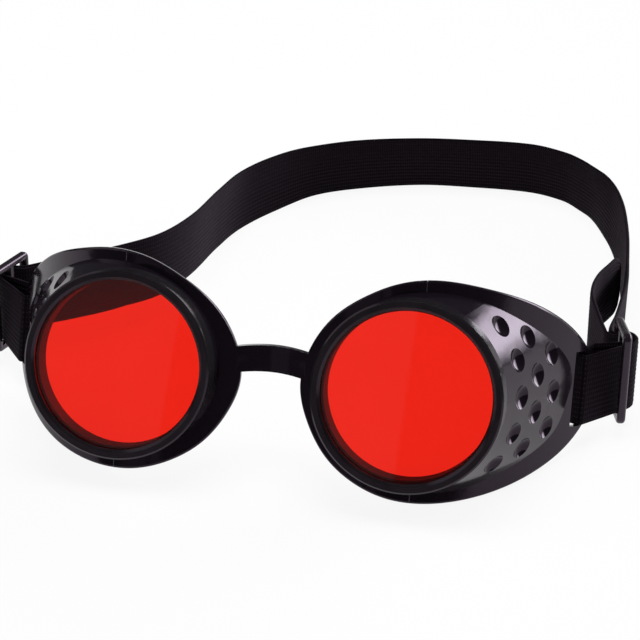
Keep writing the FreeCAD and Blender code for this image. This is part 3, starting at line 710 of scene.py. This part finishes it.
FLOOR_HALF = 3.0
FLOOR_WHITE = 0.9
floor_corners = [(x * FLOOR_HALF, y * FLOOR_HALF, 0)
                 for x, y in ((-1, -1), (1, -1), (1, 1), (-1, 1))]
floor_mesh = bpy.data.meshes.new("studio_floor")
floor_mesh.from_pydata(floor_corners, [], [(0, 1, 2, 3)])
floor = bpy.data.objects.new("studio_floor", floor_mesh)
bpy.context.scene.collection.objects.link(floor)
paper, paper_shader = new_material("white_paper")
paper_tree = paper.node_tree
set_inputs(paper_shader, {
    "Base Color": (0.88, 0.88, 0.88, 1), "Roughness": 0.9, "Specular IOR Level": 0.1})
glow = paper_tree.nodes.new("ShaderNodeEmission")
mixer = paper_tree.nodes.new("ShaderNodeMixShader")
paper_tree.links.new(white_for_view(paper_tree, FLOOR_WHITE), mixer.inputs["Fac"])
paper_tree.links.new(paper_shader.outputs["BSDF"], mixer.inputs[1])
paper_tree.links.new(glow.outputs["Emission"], mixer.inputs[2])
paper_out = next(n for n in paper_tree.nodes if n.type == "OUTPUT_MATERIAL")
paper_tree.links.new(mixer.outputs["Shader"], paper_out.inputs["Surface"])
floor_mesh.materials.append(paper)

# A dim room with one soft window low on the right behind
ROOM_COLOUR = (0.96, 0.94, 1, 1)
ROOM_LIGHT = 0.08
WINDOW_LIGHT = 11.0
WINDOW_WAY = (0.743, 0.669, 0)
WINDOW_EDGE = (0.82, 0.92)
WINDOW_RISE = [(0.02, 0.14), (0.2, 1.0), (0.4, 0.9), (0.6, 0.0)]
world = bpy.data.worlds.new("studio")
bpy.context.scene.world = world
world.use_nodes = True
sky = world.node_tree
background = sky.nodes["Background"]
background.inputs["Color"].default_value = ROOM_COLOUR
way = sky.nodes.new("ShaderNodeTexCoord")
apart = sky.nodes.new("ShaderNodeSeparateXYZ")
sky.links.new(way.outputs["Generated"], apart.inputs["Vector"])
rising = sky.nodes.new("ShaderNodeValToRGB")
rising.color_ramp.interpolation = "EASE"
for place, level in WINDOW_RISE:
    stop = rising.color_ramp.elements.new(place)
    stop.color = (level, level, level, 1)
sky.links.new(apart.outputs["Z"], rising.inputs["Fac"])
sideways = new_node(sky, "ShaderNodeVectorMath", operation="DOT_PRODUCT")
sideways.inputs[1].default_value = WINDOW_WAY
sky.links.new(way.outputs["Generated"], sideways.inputs[0])
width = new_node(sky, "ShaderNodeMapRange", interpolation_type="SMOOTHSTEP")
set_inputs(width, {"From Min": WINDOW_EDGE[0], "From Max": WINDOW_EDGE[1],
                   "To Min": 0.0, "To Max": WINDOW_LIGHT})
sky.links.new(sideways.outputs["Value"], width.inputs["Value"])
strength = new_node(sky, "ShaderNodeMath", operation="MULTIPLY_ADD")
sky.links.new(rising.outputs["Color"], strength.inputs[0])
sky.links.new(width.outputs["Result"], strength.inputs[1])
strength.inputs[2].default_value = ROOM_LIGHT
sky.links.new(strength.outputs["Value"], background.inputs["Strength"])


def soft_box(name, place, target, size, power, mirrored=True):
    """A rectangular lamp that the camera never sees, with or without its mirror image."""
    lamp = bpy.data.lights.new(name, "AREA")
    lamp.shape = "RECTANGLE"
    lamp.size, lamp.size_y = size
    lamp.energy = power
    holder = bpy.data.objects.new(name, lamp)
    holder.location = place
    holder.rotation_euler = (Vector(target) - Vector(place)).to_track_quat("-Z", "Y").to_euler()
    holder.visible_camera = False
    holder.visible_glossy = mirrored
    bpy.context.scene.collection.objects.link(holder)


MIDDLE = (0, -0.03, 0.03)
soft_box("top_box", place=(0.0, 0.1, 1.1), target=MIDDLE, size=(0.8, 0.6), power=10, mirrored=False)
soft_box("left_box", place=(-0.9, -0.2, 0.7), target=MIDDLE, size=(1.0, 1.0), power=2.5)
soft_box("front_card", place=(-0.63, -1.3, 0.3), target=(-0.63, 0, 0.3), size=(0.54, 0.5),
         power=0.12)
soft_box("front_strip", place=(-0.228, -1.3, 0.3), target=(-0.228, 0, 0.3), size=(0.145, 0.5),
         power=0.035)


# Camera

CAMERA_PLACE = Vector((0.13388, -0.5909, 0.3446))
CAMERA_TARGET = Vector((0.0094, -0.06125, 0.03553))
CAMERA_ROLL = math.radians(-0.54)
SENSOR = 36.0
FOCAL_SHARE = 2206 / 640
CLIP_NEAR, CLIP_FAR = 0.01, 20

gaze = (CAMERA_TARGET - CAMERA_PLACE).normalized()
level_right = gaze.cross(UP).normalized()
level_up = level_right.cross(gaze)
right = math.cos(CAMERA_ROLL) * level_right + math.sin(CAMERA_ROLL) * level_up
up = right.cross(gaze)
lens = bpy.data.cameras.new("photo_camera")
lens.sensor_width = SENSOR
lens.sensor_fit = "HORIZONTAL"
lens.lens = SENSOR * FOCAL_SHARE
lens.clip_start, lens.clip_end = CLIP_NEAR, CLIP_FAR
camera = bpy.data.objects.new("photo_camera", lens)
turn = Matrix((right, up, -gaze)).transposed().to_4x4()
camera.matrix_world = Matrix.Translation(CAMERA_PLACE) @ turn
bpy.context.scene.collection.objects.link(camera)
bpy.context.scene.camera = camera
bpy.context.scene.view_settings.view_transform = "Standard"
